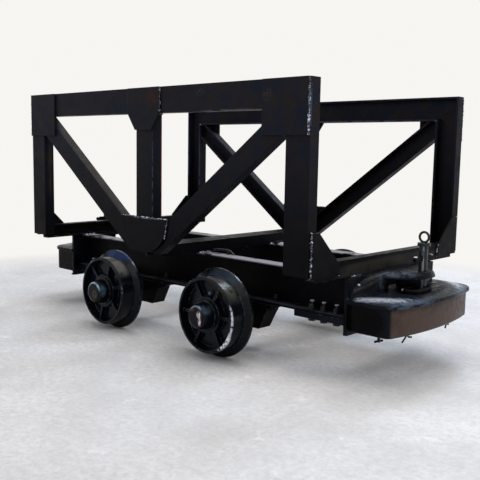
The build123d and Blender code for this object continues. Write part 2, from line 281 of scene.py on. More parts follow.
@dataclass(frozen=True)
class Arc(Mark):
    """Mark that keeps to a ring round an axle."""
    ring: float = 0.1475
    width: float = 0.0035
    axle: Point = (0.0, 0.0, 0.0)

    def share(self, tree: ShaderTree) -> Socket:
        """How far the arc covers each place.

        Args:
            tree: Tree of the material.

        Returns:
            The socket of the share, 0 to 1.
        """
        shift = tree.vector("SUBTRACT", tree.place, self.axle)
        flat = tree.vector("MULTIPLY", shift, (1.0, 0.0, 1.0))
        ring = tree.math("COMPARE", tree.length(flat), self.ring, self.width)
        return tree.product(super().share(tree), ring)

    def moved(self, shift: Point) -> Self:
        """The same arc round another axle."""
        return replace(super().moved(shift), axle=added(self.axle, shift))


def repeated(
    marks: Sequence[Mark], ends: Iterable[End] = End, sides: Iterable[Side] = Side
) -> tuple[Mark, ...]:
    """Marks of the front left corner, mirrored.

    Args:
        marks: The marks.
        ends: Ends that get them.
        sides: Sides that get them.

    Returns:
        The marks of every corner.
    """
    return tuple(
        replace(mark, centre=(mark.centre[0] * end.value, mark.centre[1] * side.value,
                              mark.centre[2]))
        for end in ends for side in sides for mark in marks
    )


@dataclass(frozen=True)
class Paint:
    """Black paint on steel or cast iron, hazed in places, with a lighter colour on parts of its
    edges: rubbed paint, and on some finishes a painted highlight.

    Grain and lumps each have a number for each metre and a height.
    """
    name: str
    colour: Colour
    haze: Colour
    roughness: Span
    specular: float
    grain: Span
    lumps: Span
    grain_noise: Span = (3.0, 0.6)
    lump_noise: Span = (4.0, 0.55)
    lump_band: Span = (0.35, 0.65)
    relief: float = 0.6
    haze_share: float = 0.6
    haze_patches: Blotches = Blotches(3.1, 6.0, 0.62, (0.42, 0.66))
    dust: Colour = (0.085, 0.085, 0.09)
    dust_share: float = 0.0
    dust_slope: Span = (0.55, 0.95)
    dust_band: Span = (0.3, 0.62)
    dust_least: float = 0.45
    # Edge colour: rubbed paint, and on some finishes a painted highlight
    rubbed: Colour = (0.16, 0.16, 0.17)
    rub_level: float = 0.6
    rub_soft: float = 0.05
    rub_noise: Triple = (38.0, 5.0, 0.7)
    rub_turn: Span = (0.97, 0.86)
    edge: float = 0.003
    edge_samples: int = 6
    marks: tuple[Mark, ...] = ()

    def material(self) -> Material:
        """Build the material.

        Returns:
            The finished material.
        """
        made = bpy.data.materials.new(self.name)
        tree = ShaderTree(made, self.colour)
        rounded = tree.add("ShaderNodeBevel", {"Radius": self.edge}, samples=self.edge_samples)
        soft = rounded.outputs["Normal"]
        fine = tree.noise(self.grain[0], *self.grain_noise)
        middle = tree.noise(self.lumps[0], *self.lump_noise)

        tree.cover(tree.product(self.haze_patches.share(tree), self.haze_share), self.haze)
        if self.dust_share > 0:
            self.add_dust(tree, middle)
        self.rub_edges(tree, soft)
        self.add_marks(tree)

        height = tree.math("MULTIPLY_ADD", middle, self.lumps[1] / self.grain[1], fine)
        bump = tree.add(
            "ShaderNodeBump",
            {"Strength": self.relief, "Distance": self.grain[1], "Height": height,
             "Normal": soft},
        )
        tree.finish(tree.add(
            "ShaderNodeBsdfPrincipled",
            {"Base Color": tree.colour, "Normal": bump.outputs[0],
             "Roughness": tree.mapped(middle, self.lump_band, self.roughness),
             "Specular IOR Level": self.specular},
        ))
        return made

    def add_dust(self, tree: ShaderTree, middle: Socket) -> None:
        """Lay grey dust on the faces that look up.

        Args:
            tree: Tree of the material.
            middle: Noise that breaks the dust up.
        """
        upward = tree.mapped(tree.part(tree.normal, "Z"), self.dust_slope)
        broken = tree.mapped(middle, self.dust_band, (self.dust_least, 1.0))
        tree.cover(tree.product(upward, broken, self.dust_share), self.dust)

    def rub_edges(self, tree: ShaderTree, soft: Socket) -> None:
        """Lay the edge colour on parts of the edges: rubbed paint, and on some finishes a painted
        highlight.

        Args:
            tree: Tree of the material.
            soft: Direction of the faces with rounded edges.
        """
        face = tree.add("ShaderNodeNewGeometry")
        turn = tree.add(
            "ShaderNodeVectorMath", {0: soft, 1: face.outputs["True Normal"]},
            operation="DOT_PRODUCT",
        )
        edge = tree.mapped(turn.outputs["Value"], self.rub_turn)
        band = (self.rub_level - self.rub_soft, self.rub_level + self.rub_soft)
        patch = Blotches(*self.rub_noise, band).share(tree)
        tree.cover(tree.product(edge, patch), self.rubbed)

    def add_marks(self, tree: ShaderTree) -> None:
        """Add the marks of the single piece."""
        for mark in self.marks:
            tree.cover(mark.share(tree), mark.colour)


@dataclass(frozen=True)
class BufferPaint(Paint):
    """Paint of the cast buffers, worn brown where they meet the next car."""
    brown: Colour = (0.082, 0.054, 0.043)
    face_reach: Span = (0.986, 0.996)
    face_top: Span = (0.276, 0.266)
    face_turn: Span = (0.72, 0.9)
    patches: Blotches = Blotches(15.0, 6.0, 0.7, (0.26, 0.54), (0.55, 1.0))

    def add_marks(self, tree: ShaderTree) -> None:
        """Brown the wearing face, which looks along the car below the brim.

        Args:
            tree: Tree of the material.
        """
        super().add_marks(tree)
        share = tree.product(
            tree.mapped(tree.far(tree.place, "X"), self.face_reach),
            tree.mapped(tree.part(tree.place, "Z"), self.face_top),
            tree.mapped(tree.far(tree.normal, "X"), self.face_turn),
            self.patches.share(tree),
        )
        tree.cover(share, self.brown)


EVERYWHERE = (9.0, 9.0, 9.0)
MIDDLE = (0.0, 0.0, 0.5)
FRAME_TINTS_SHADE_AND_HIGHLIGHTS = (
    Mark(MIDDLE, EVERYWHERE, (0.0175, 0.012, 0.0105), 0.36, 13.0, soft=0.25),
    Mark(MIDDLE, EVERYWHERE, (0.007, 0.01, 0.02), 0.36, 19.0, soft=0.25),
    # Painted shade: darker towards the bottom of the frame
    Mark((0.0, 0.0, 0.3), (9.0, 9.0, 0.56), (0.0018, 0.0018, 0.003), 1.3, 3.0, border=0.3),
    Mark((-0.36, -0.497, 0.72), (0.42, 0.0225, 0.34), (0.024, 0.02, 0.015), 0.95, 8.0,
         soft=0.3, border=0.9),
    # Painted shade inside the far truss
    Mark((0.36, 0.497, 0.72), (0.48, 0.023, 0.34), (0.001, 0.001, 0.0018), 1.2, 8.0, border=0.9),
    Mark((0.645, -0.534, 0.99), (0.036, 0.012, 0.03), (0.06, 0.06, 0.07), 0.12, 300.0),
    Mark((0.313, -0.525, 1.011), (0.034, 0.012, 0.018), (0.06, 0.058, 0.066), 0.12, 300.0),
    Mark((0.06, -0.53, 1.0), (0.06, 0.014, 0.046), (0.024, 0.0125, 0.0115), 0.62, 22.0, soft=0.2),
    Mark((0.05, -0.4785, 0.7), (0.012, 0.006, 0.3), (0.075, 0.012, 0.016), 1.0, 14.0, border=0.8),
    # Painted highlights along the middle post's corner, the far rear post's flange tips, the near
    # rail's lower edge and the corner plate's outer edge
    Mark((0.0495, -0.5245, 0.7), (0.0035, 0.0035, 0.23), (0.045, 0.055, 0.085), 0.55, 40.0),
    Mark((-0.824, 0.478, 0.7), (0.007, 0.003, 0.26), (0.06, 0.07, 0.1), 0.75, 16.0),
    Mark((-0.732, 0.478, 0.7), (0.007, 0.003, 0.26), (0.035, 0.042, 0.062), 0.7, 16.0),
    Mark((0.466, -0.525, 0.9425), (0.17, 0.008, 0.004), (0.07, 0.068, 0.076), 0.7, 30.0),
    Mark((0.828, -0.524, 0.947), (0.01, 0.0045, 0.1), (0.045, 0.075, 0.15), 0.62, 60.0),
    Mark((0.015, -0.534, 0.528), (0.11, 0.01, 0.006), (0.12, 0.14, 0.19), 0.6, 45.0),
    # Painted highlight along the far rail's lower flange
    Mark((0.1, 0.477, 0.9425), (0.7, 0.01, 0.006), (0.05, 0.06, 0.09), 0.7, 18.0),
)
SILL_DUST_AND_HIGHLIGHTS = repeated((
    # Light strip on each sill's top flange: dust with a painted sheen
    Mark((0.0, 0.235, 0.3655), (3.0, 0.08, 0.006), (0.235, 0.235, 0.26), 0.95, 9.0),
    # Painted highlight along the upper edge of each sill's lower flange
    Mark((0.0, 0.25, 0.2155), (3.0, 0.03, 0.004), (0.042, 0.044, 0.058), 0.72, 16.0, soft=0.2),
), ends=(End.FRONT,))
BEAM_MARK = Mark((0.829, 0.0, 0.386), (0.004, 0.52, 0.034), (0.0235, 0.022, 0.0195), 0.8, 8.0,
                 soft=0.3, border=0.75)
# Lip of a buffer: place, width and cover of each patch of painted highlight
LIP_HIGHLIGHTS = (
    (0.884, 0.29, 0.03, 0.55), (0.914, 0.277, 0.034, 0.85), (0.944, 0.26, 0.038, 0.95),
    (0.972, 0.238, 0.038, 0.9), (0.999, 0.212, 0.036, 0.75), (1.022, 0.182, 0.034, 0.45),
)
CASTING_HIGHLIGHTS_AND_SHADE = (
    # Painted bluish reflection along the brim's front edge
    Mark((1.035, 0.2, 0.283), (0.055, 0.17, 0.014), (0.048, 0.068, 0.105), 0.66, 30.0,
         (1.0, 0.5, 2.0)),
    # Painted shade on the slope of the dome
    Mark((0.858, 0.215, 0.335), (0.03, 0.062, 0.028), (0.0012, 0.0016, 0.0026), 1.2, 20.0,
         border=0.7),
    # Painted highlights: a band on the cheek's ridge, a spot on the dome's outline, a sheen on the
    # top and a patch on the cheek
    Mark((0.88, 0.154, 0.336), (0.016, 0.015, 0.04), (0.02, 0.034, 0.052), 0.6, 90.0,
         (1.0, 1.0, 0.5), soft=0.2),
    Mark((0.8465, 0.24, 0.336), (0.006, 0.006, 0.005), (0.5, 0.56, 0.62), 1.0, 60.0),
    Mark((0.93, 0.11, 0.366), (0.075, 0.13, 0.012), (0.03, 0.048, 0.07), 0.55, 45.0),
    Mark((0.915, 0.182, 0.336), (0.04, 0.022, 0.045), (0.022, 0.034, 0.052), 0.55, 60.0),
    # Painted shade in the mouth, then on the flank of the block
    Mark((0.88, 0.0, 0.325), (0.125, 0.15, 0.036), (0.0006, 0.0006, 0.0009), 1.3, 20.0,
         border=0.85),
    Mark((0.9, 0.29, 0.222), (0.1, 0.05, 0.068), (0.0006, 0.0006, 0.001), 1.3, 20.0, border=0.75),
)


def buffer_marks(end: End, lip: Colour) -> tuple[Mark, ...]:
    """Marks of the buffer at one end: painted highlights of a colour on its lip, then the painted
    highlights and shade of the casting.
    """
    rubbed = (
        Mark((x, y, 0.296), (wide, wide, 0.014), lip, cover, 60.0, soft=0.22, border=0.15)
        for x, y, wide, cover in LIP_HIGHLIGHTS
    )
    return repeated((*rubbed, *CASTING_HIGHLIGHTS_AND_SHADE), ends=(end,))


# Painted highlights on the coupling pins: bluish streaks and a bright line down each pin
PIN_HIGHLIGHTS = repeated((
    Mark((0.962, 0.0, 0.4), (0.03, 0.03, 0.13), (0.04, 0.052, 0.085), 0.5, 90.0, (1.0, 1.0, 0.12)),
    Mark((0.9695, -0.0145, 0.4), (0.0042, 0.0042, 0.12), (0.26, 0.26, 0.25), 0.85, 70.0,
         (1.0, 1.0, 0.25)),
), sides=(Side.LEFT,))
# Painted highlight on the top end of each key
KEY_HIGHLIGHTS = repeated((
    Mark((0.962, 0.057, 0.4305), (0.012, 0.009, 0.0048), (0.62, 0.62, 0.66), 0.95, 60.0),
))
# Painted highlight on each coupling link
LINK_HIGHLIGHT = Mark((0.943, -0.108, 0.314), (0.007, 0.006, 0.006), (0.5, 0.48, 0.46), 1.0, 60.0)
STUD_GLINT = Mark((0.0, 0.0, 0.0), (0.012, 0.012, 0.006), (0.7, 0.75, 0.85), 1.0, 60.0)
# Painted bluish glints on the weld beads, then small dark spots
WELD_GLINTS_AND_SPOTS = (
    Mark(MIDDLE, EVERYWHERE, (0.68, 0.76, 0.95), 0.36, 110.0),
    Mark(MIDDLE, EVERYWHERE, (0.0018, 0.0018, 0.0028), 0.5, 60.0),
)

FRAME_PAINT = Paint(
    "frame_paint", (0.0088, 0.0088, 0.013), (0.0155, 0.015, 0.019), (0.34, 0.54), 0.045,
    grain=(340.0, 0.0003), lumps=(20.0, 0.0006), haze_share=0.8, dust_share=0.06,
    marks=FRAME_TINTS_SHADE_AND_HIGHLIGHTS,
)
CHASSIS_PAINT = Paint(
    "chassis_paint", (0.0016, 0.0016, 0.0027), (0.0044, 0.0042, 0.0055), (0.34, 0.52), 0.035,
    grain=(300.0, 0.0003), lumps=(24.0, 0.0008), haze_share=0.7, dust_share=0.02,
)
SILL_PAINT = replace(CHASSIS_PAINT, name="sill_paint", marks=SILL_DUST_AND_HIGHLIGHTS)
BEAM_PAINT = replace(CHASSIS_PAINT, name="beam_paint", marks=(BEAM_MARK,))
BUFFER_PAINT = BufferPaint(
    "buffer_paint", (0.0032, 0.004, 0.0062), (0.009, 0.0125, 0.019), (0.2, 0.42), 0.05,
    grain=(120.0, 0.0009), lumps=(34.0, 0.0034), edge=0.006, rub_level=0.62,
    # Painted highlights on the lips: bright at the front, dim at the rear, which lies in shade
    marks=(*buffer_marks(End.FRONT, (0.36, 0.39, 0.46)),
           *buffer_marks(End.REAR, (0.05, 0.056, 0.07))),
)
# Forged steel, with painted highlights on the coupling pins
FORGED_STEEL = Paint(
    "forged_steel", (0.0065, 0.007, 0.009), (0.018, 0.0185, 0.022), (0.22, 0.44), 0.25,
    grain=(420.0, 0.0003), lumps=(60.0, 0.0006), edge=0.002, rub_level=0.55, marks=PIN_HIGHLIGHTS,
)
# Dark copy of the forged steel: painted shade for the coupling links, which lie in the buffers'
# mouths
LINK_STEEL = replace(
    FORGED_STEEL, name="link_steel", colour=(0.0016, 0.0016, 0.0022), haze=(0.003, 0.003, 0.0036),
    roughness=(0.4, 0.6), specular=0.05, rub_level=0.7, marks=(LINK_HIGHLIGHT,),
)
# Key steel: the link steel's dark colour, with painted highlights
KEY_STEEL = replace(LINK_STEEL, name="key_steel", rub_level=0.62, marks=KEY_HIGHLIGHTS)
# Weld metal, whose bluish edge colour stands for rubbed paint and a painted highlight
WELD_METAL = Paint(
    "weld_metal", (0.006, 0.006, 0.009), (0.035, 0.04, 0.06), (0.08, 0.3), 0.45,
    grain=(900.0, 0.0003), lumps=(180.0, 0.0007), haze_share=0.9, rubbed=(0.3, 0.33, 0.42),
    edge=0.001, marks=WELD_GLINTS_AND_SPOTS,
)
# Bolt paint, whose bright bluish edge colour stands for rubbed paint and a painted highlight on
# the nuts, washers and heads
BOLT_PAINT = Paint(
    "bolt_paint", (0.004, 0.0044, 0.0065), (0.012, 0.013, 0.017), (0.2, 0.4), 0.18,
    grain=(600.0, 0.0002), lumps=(120.0, 0.0004), dust_share=0.2, rubbed=(0.36, 0.4, 0.5),
    edge=0.0012, rub_level=0.56,
)
WHEEL_PAINT = Paint(
    "wheel_paint", (0.0024, 0.0028, 0.0046), (0.0056, 0.0072, 0.0115), (0.1, 0.28), 0.11,
    grain=(150.0, 0.0006), lumps=(40.0, 0.002), haze_share=0.5, rubbed=(0.09, 0.11, 0.15),
    edge=0.0035, rub_level=0.53,
)
# Wear, stains, painted highlights and painted reflections of the wheelsets, from the middle of the
# axle
# Olive patch on the upper part of each tread
UPPER_TREAD_PATCH = Mark((0.092, -0.47, 0.116), (0.066, 0.036, 0.06), (0.036, 0.035, 0.027), 0.85, 24.0)
WHEEL_WEAR_AND_HIGHLIGHTS = {
    End.FRONT: (
        UPPER_TREAD_PATCH,
        Mark((0.017, -0.545, 0.012), (0.013, 0.01, 0.015), (0.7, 0.58, 0.6), 0.72, 170.0),
        Mark((0.022, -0.545, -0.013), (0.009, 0.01, 0.02), (0.66, 0.54, 0.54), 0.74, 150.0),
        # Painted highlight on the upper right of the hub cap's side
        Mark((0.034, -0.522, 0.032), (0.026, 0.026, 0.028), (0.026, 0.042, 0.066), 0.8, 40.0,
             soft=0.2),
        # Painted bluish reflection on the top of the flange
        Mark((0.05, -0.432, 0.15), (0.1, 0.028, 0.036), (0.01, 0.019, 0.036), 0.95, 14.0,
             soft=0.2),
        # Painted glint on the grease plug
        Mark((0.0042, -0.472, 0.084), (0.01, 0.02, 0.01), (0.07, 0.11, 0.18), 1.0, 30.0),
        Mark((-0.02, -0.543, 0.028), (0.015, 0.01, 0.009), (0.1, 0.018, 0.014), 0.85, 90.0),
        Arc((0.146, -0.5, -0.004), (0.034, 0.01, 0.08), (0.62, 0.65, 0.72), 0.72, 70.0,
            width=0.0042),
        Arc((0.118, -0.5, -0.092), (0.056, 0.016, 0.056), (0.88, 0.88, 0.88), 0.7, 90.0,
            ring=0.1455, width=0.007),
        # Painted highlight along the upper edge of the hub cap
        Arc((-0.004, -0.541, 0.044), (0.042, 0.014, 0.026), (0.15, 0.22, 0.31), 0.9, 50.0,
            soft=0.2, ring=0.0415, width=0.0028),
    ),
    End.REAR: (
        UPPER_TREAD_PATCH,
        Mark((0.01, -0.545, -0.008), (0.022, 0.008, 0.024), (0.045, 0.036, 0.018), 0.75, 60.0),
        # Painted highlight on the hub cap's side
        Mark((0.044, -0.526, 0.014), (0.012, 0.02, 0.036), (0.045, 0.085, 0.12), 0.8, 50.0,
             soft=0.2),
        # Painted blue reflection on the top of the flange
        Mark((0.03, -0.425, 0.16), (0.11, 0.03, 0.034), (0.006, 0.03, 0.105), 0.97, 12.0,
             soft=0.2),
        Arc((0.14, -0.5, 0.02), (0.03, 0.006, 0.03), (0.12, 0.13, 0.16), 0.5, 50.0),
        # Painted highlight along the upper edge of the hub cap
        Arc((0.01, -0.541, 0.038), (0.052, 0.014, 0.038), (0.3, 0.43, 0.54), 0.92, 50.0,
            soft=0.2, ring=0.0415, width=0.0028),
    ),
}


def wheel_paint(end: End, axle: Point) -> Paint:
    """Paint of one wheelset, with the wear, stains, painted highlights and painted reflections of
    that end.
    """
    marks = tuple(mark.moved(axle) for mark in WHEEL_WEAR_AND_HIGHLIGHTS[end])
    return replace(WHEEL_PAINT, name=f"{end.word}_wheel_paint", marks=marks)


# Pieces

def linked(name: str, data: bpy.types.ID) -> Piece:
    """Put a mesh, curve, lamp or camera in the scene, at the origin.

    Args:
        name: Name of the object.
        data: What the object shows.

    Returns:
        The object.
    """
    made = bpy.data.objects.new(name, data)
    bpy.context.scene.collection.objects.link(made)
    return made


def coat(mesh: bpy.types.Mesh, material: Material) -> None:
    """Give a mesh one material."""
    mesh.materials.clear()
    mesh.materials.append(material)


def baked(carrier: Piece, name: str, material: Material) -> Piece:
    """Replace a carrier by the plain mesh that its modifiers or its curves make.

    Args:
        carrier: Object to replace.
        name: Name of the finished piece.
        material: Its material.

    Returns:
        The finished piece.
    """
    depsgraph = bpy.context.evaluated_depsgraph_get()
    mesh = bpy.data.meshes.new_from_object(carrier.evaluated_get(depsgraph))
    carrier.modifiers.clear()
    bpy.data.objects.remove(carrier)
    coat(mesh, material)
    return linked(name, mesh)


def solid(shape: bmesh.types.BMesh, name: str, material: Material, rounding: float = 0) -> Piece:
    """Turn an edited mesh into a piece.

    Args:
        shape: The edited mesh, which is freed.
        name: Name of the piece.
        material: Its material.
        rounding: Width of its rounded edges, or 0 for sharp ones.

    Returns:
        The piece.
    """
    bmesh.ops.recalc_face_normals(shape, faces=shape.faces)
    mesh = bpy.data.meshes.new(name)
    shape.to_mesh(mesh)
    shape.free()
    coat(mesh, material)
    made = linked(name, mesh)
    if rounding > 0:
        bevel = made.modifiers.new("edges", "BEVEL")
        bevel.width = rounding
        bevel.segments = EDGE_STEPS
    return made


def rod(name: str, paths: Sequence[Path], radius: float, material: Material) -> Piece:
    """Round rods along smooth paths, closed at their ends.

    Args:
        name: Name of the piece.
        paths: Points that each rod follows.
        radius: Radius of the rods.
        material: Their material.

    Returns:
        The finished piece.
    """
    curve = bpy.data.curves.new(name, "CURVE")
    curve.dimensions = "3D"
    curve.bevel_depth = radius
    curve.bevel_resolution, curve.resolution_u = ROD_STEPS
    curve.use_fill_caps = True
    for path in paths:
        spline = curve.splines.new("NURBS")
        spline.points.add(len(path) - 1)
        for point, place in zip(spline.points, path):
            point.co = (*place, 1.0)
        spline.order_u = ROD_ORDER
        spline.use_endpoint_u = True
    made = baked(linked(f"{name}_carrier", curve), name, material)
    made.data.shade_smooth()
    return made


def place_piece(piece: Piece, body: str) -> None:
    """Let a finished piece ride on a body and report it.

    Args:
        piece: The piece.
        body: Name of the body it moves with.
    """
    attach(piece, body)
    log.info("%s: %d faces on %s", piece.name, len(piece.data.polygons), body)


def mirrored(paths: Iterable[Path], ends: bool = True) -> list[list[Point]]:
    """Paths of the front right corner, repeated for the other corners.

    Args:
        paths: Paths at the front right.
        ends: Whether they are repeated at the rear.

    Returns:
        The paths of every corner.
    """
    signs = [(x, y) for x in ((1, -1) if ends else (1,)) for y in (1, -1)]
    return [[(p[0] * x, p[1] * y, p[2]) for p in path] for x, y in signs for path in paths]


# Geometry trees

class GeometryTree(Tree):
    """Geometry Nodes tree with named inputs, baked to plain meshes."""

    def __init__(self, name: str, sizes: dict[str, float]) -> None:
        """Start a tree.

        Args:
            name: Name of the tree.
            sizes: Inputs and their default values.
        """
        super().__init__(bpy.data.node_groups.new(name, "GeometryNodeTree"))
        for label, way in (("Geometry", "INPUT"), ("Material", "INPUT"), ("Geometry", "OUTPUT")):
            self.tree.interface.new_socket(label, in_out=way, socket_type=f"NodeSocket{label}")
        for label, value in sizes.items():
            kind = "NodeSocketInt" if isinstance(value, int) else "NodeSocketFloat"
            made = self.tree.interface.new_socket(label, in_out="INPUT", socket_type=kind)
            made.default_value = value
        self.source = self.add("NodeGroupInput")
        self.result = self.add("NodeGroupOutput")

    def size(self, label: str) -> Socket:
        """Socket of a named input."""
        return self.source.outputs[label]

    def random(self, least: float, most: float) -> Socket:
        """Random value for each point between two limits, drawn with the tree's seed."""
        inputs = {2: least, 3: most, "Seed": self.size("Seed")}
        return self.add("FunctionNodeRandomValue", inputs).outputs[1]

    def finish(self, **inputs: Socket) -> None:
        """End the tree with an instance on each point.

        Args:
            **inputs: Points, Instance, Rotation and Scale of the instances.
        """
        rows = self.add("GeometryNodeInstanceOnPoints", inputs)
        real = self.add("GeometryNodeRealizeInstances", {0: rows.outputs[0]})
        painted = self.add(
            "GeometryNodeSetMaterial",
            {"Geometry": real.outputs[0], "Material": self.size("Material")},
        )
        self.tree.links.new(painted.outputs[0], self.result.inputs[0])

    def bake(self, source: bpy.types.Mesh, name: str, material: Material, **sizes: float) -> Piece:
        """Run the tree on a mesh and keep the result as a plain mesh.

        Args:
            source: Mesh that carries the points or paths.
            name: Name of the finished piece.
            material: Its material.
            **sizes: Values of the named inputs.

        Returns:
            The finished piece.
        """
        carrier = linked(f"{name}_carrier", source)
        modifier = carrier.modifiers.new(self.tree.name, "NODES")
        modifier.node_group = self.tree
        values = {**sizes, "Material": material}
        for item in self.tree.interface.items_tree:
            if item.in_out == "INPUT" and item.name in values:
                modifier[item.identifier] = values[item.name]
        return baked(carrier, name, material)


def weld_tree() -> GeometryTree:
    """Tree that lays overlapping ripples along paths.

    Returns:
        The tree, with the inputs Spacing, Flatness and Seed.
    """
    made = GeometryTree("weld_ripples", {"Spacing": WELD_SPACING, "Flatness": 0.75, "Seed": 7})
    paths = made.add("GeometryNodeMeshToCurve", {"Mesh": made.size("Geometry")})
    spread = made.add(
        "GeometryNodeResampleCurve", {"Curve": paths.outputs[0], "Length": made.size("Spacing")},
        mode="LENGTH",
    )
    ripple = made.add("GeometryNodeMeshIcoSphere", {"Radius": 1.0, "Subdivisions": 2})
    tangent = made.add("GeometryNodeInputTangent")
    turn = made.add("FunctionNodeAlignRotationToVector", {"Vector": tangent.outputs[0]}, axis="Z")
    radius = made.add("GeometryNodeInputNamedAttribute", {"Name": "radius_m"})
    size = made.product(radius.outputs[0], made.random(*WELD_JITTER))
    flat = made.product(size, made.size("Flatness"))
    scale = made.add("ShaderNodeCombineXYZ", {0: size, 1: size, 2: flat})
    made.finish(Points=spread.outputs[0], Instance=ripple.outputs[0],
                Rotation=turn.outputs[0], Scale=scale.outputs[0])
    return made


def bolt_tree() -> GeometryTree:
    """Tree that puts a bolt through each point: nut, washer and thread above, head below.

    Returns:
        The tree, with the inputs Radius, Grip and Seed.
    """
    made = GeometryTree("bolts", {"Radius": 0.015, "Grip": 0.033, "Seed": 3})
    radius = made.size("Radius")
    joined = made.add("GeometryNodeJoinGeometry")
    # Corners, then width, height and start as shares of the radius, and whether below the grip
    for sides, width, height, start, below in (
        (6, 1.0, 0.72, -0.86, True),
        (28, 1.16, 0.14, -0.14, True),
        (16, 0.56, 1.15, 1.0, False),
        (6, 1.0, 0.95, 0.16, False),
        (28, 1.16, 0.16, 0.0, False),
    ):
        place = made.product(radius, start + height / 2)
        if below:
            place = made.math("SUBTRACT", place, made.size("Grip"))
        body = made.add(
            "GeometryNodeMeshCylinder",
            {"Vertices": sides, "Radius": made.product(radius, width),
             "Depth": made.product(radius, height)},
        )
        shift = made.add("ShaderNodeCombineXYZ", {2: place})
        moved = made.add(
            "GeometryNodeTransform",
            {"Geometry": body.outputs["Mesh"], "Translation": shift.outputs[0]},
        )
        made.tree.links.new(moved.outputs[0], joined.inputs[0])
    turn = made.add("ShaderNodeCombineXYZ", {2: made.random(0.0, math.tau)})
    made.finish(Points=made.size("Geometry"), Instance=joined.outputs[0],
                Rotation=turn.outputs[0])
    return made


def lay_welds(tree: GeometryTree, name: str, seams: list[Seam]) -> None:
    """Lay weld beads on the car.

    Args:
        tree: Tree that turns lines into beads.
        name: Name of the piece.
        seams: Size of the bead and line of each seam.
    """
    points = [point for _, line in seams for point in line]
    radii = [radius for radius, line in seams for _ in line]
    mesh = bpy.data.meshes.new(f"{name}_seams")
    mesh.from_pydata(points, [(k, k + 1) for k in range(0, len(points), 2)], [])
    mesh.attributes.new("radius_m", "FLOAT", "POINT").data.foreach_set("value", radii)
    place_piece(tree.bake(mesh, name, WELD_METAL.material(), Spacing=WELD_SPACING), CAR)


# Sub-assemblies

@dataclass
class Trusses:
    """Weld seams of the two trusses."""
    web: float = 0.525
    half_length: float = 0.828
    post: float = 0.728
    top: float = 1.041
    rail_bottom: float = 0.941
    corner_out: float = 0.822
    corner_bottom: float = 0.854
    tee_half: float = 0.096
    post_half: float = 0.05
    foot_top: Span = (0.142, 0.528)
    foot_side: Span = (0.128, 0.455)
    bracket_edge: float = 0.504
    bracket_top: float = 0.536
    bracket_bottom: float = 0.38
    bracket_low: float = 0.345
    bracket_knee: float = 0.362
    cross_top: float = 0.428
    tip: float = 0.477
    bead: float = 0.0052
    stand: float = 0.0035
    end_stand: float = 0.0025
    knee_stand: float = 0.003
    off: float = 0.001
    short: float = 0.002
    web_gap: float = 0.006
    low_gap: float = 0.004
    high_gap: float = 0.0075
    bracket_gap: float = 0.008
    tip_run: float = 0.04

    def seams(self) -> list[Seam]:
        """Weld seams at the front right corner.

        Returns:
            The share of the bead's size and the line of each seam.
        """
        y, inner = -self.web - self.stand, -self.web + self.web_gap
        low, high = self.rail_bottom + self.low_gap, self.top - self.high_gap
        x, off, short = self.half_length, self.off, self.short
        end, knee_end = x + self.end_stand, x + self.knee_stand
        under, over = self.rail_bottom - off, self.cross_top + off
        corner, tee = self.corner_out + off, self.post_half + off
        edge, tip = -self.bracket_edge - off, -self.tip + off
        (side_x, side_z), (top_x, top_z) = self.foot_side, self.foot_top
        return [
            (0.95, [(corner, y, self.corner_bottom + short), (corner, y, high)]),
            (0.85, [(self.tee_half, y, low), (self.tee_half, y, high)]),
            (0.8, [(side_x, y, side_z), (top_x, y, top_z)]),
            (0.7, [(0.0, y, top_z), (top_x, y, top_z)]),
            (0.95, [(end, edge, self.bracket_bottom + self.bracket_gap),
                    (end, edge, self.bracket_top)]),
            (0.8, [(knee_end, -self.bracket_knee + off, self.cross_top - short),
                   (knee_end, -self.bracket_low + off, self.bracket_bottom)]),
            (0.8, [(x - self.tip_run, tip, over), (x - short, tip, over)]),
            (0.9, [(self.post, inner, under), (self.post, -self.tip, under)]),
            (0.7, [(tee, inner, under), (tee, -self.tip, under)]),
        ]

    def build(self, tree: GeometryTree) -> None:
        """Lay the weld seams with the tree that turns lines into beads."""
        seams = [
            (self.bead * share, line)
            for share, seam in self.seams() for line in mirrored([seam])
        ]
        lay_welds(tree, "truss_welds", seams)


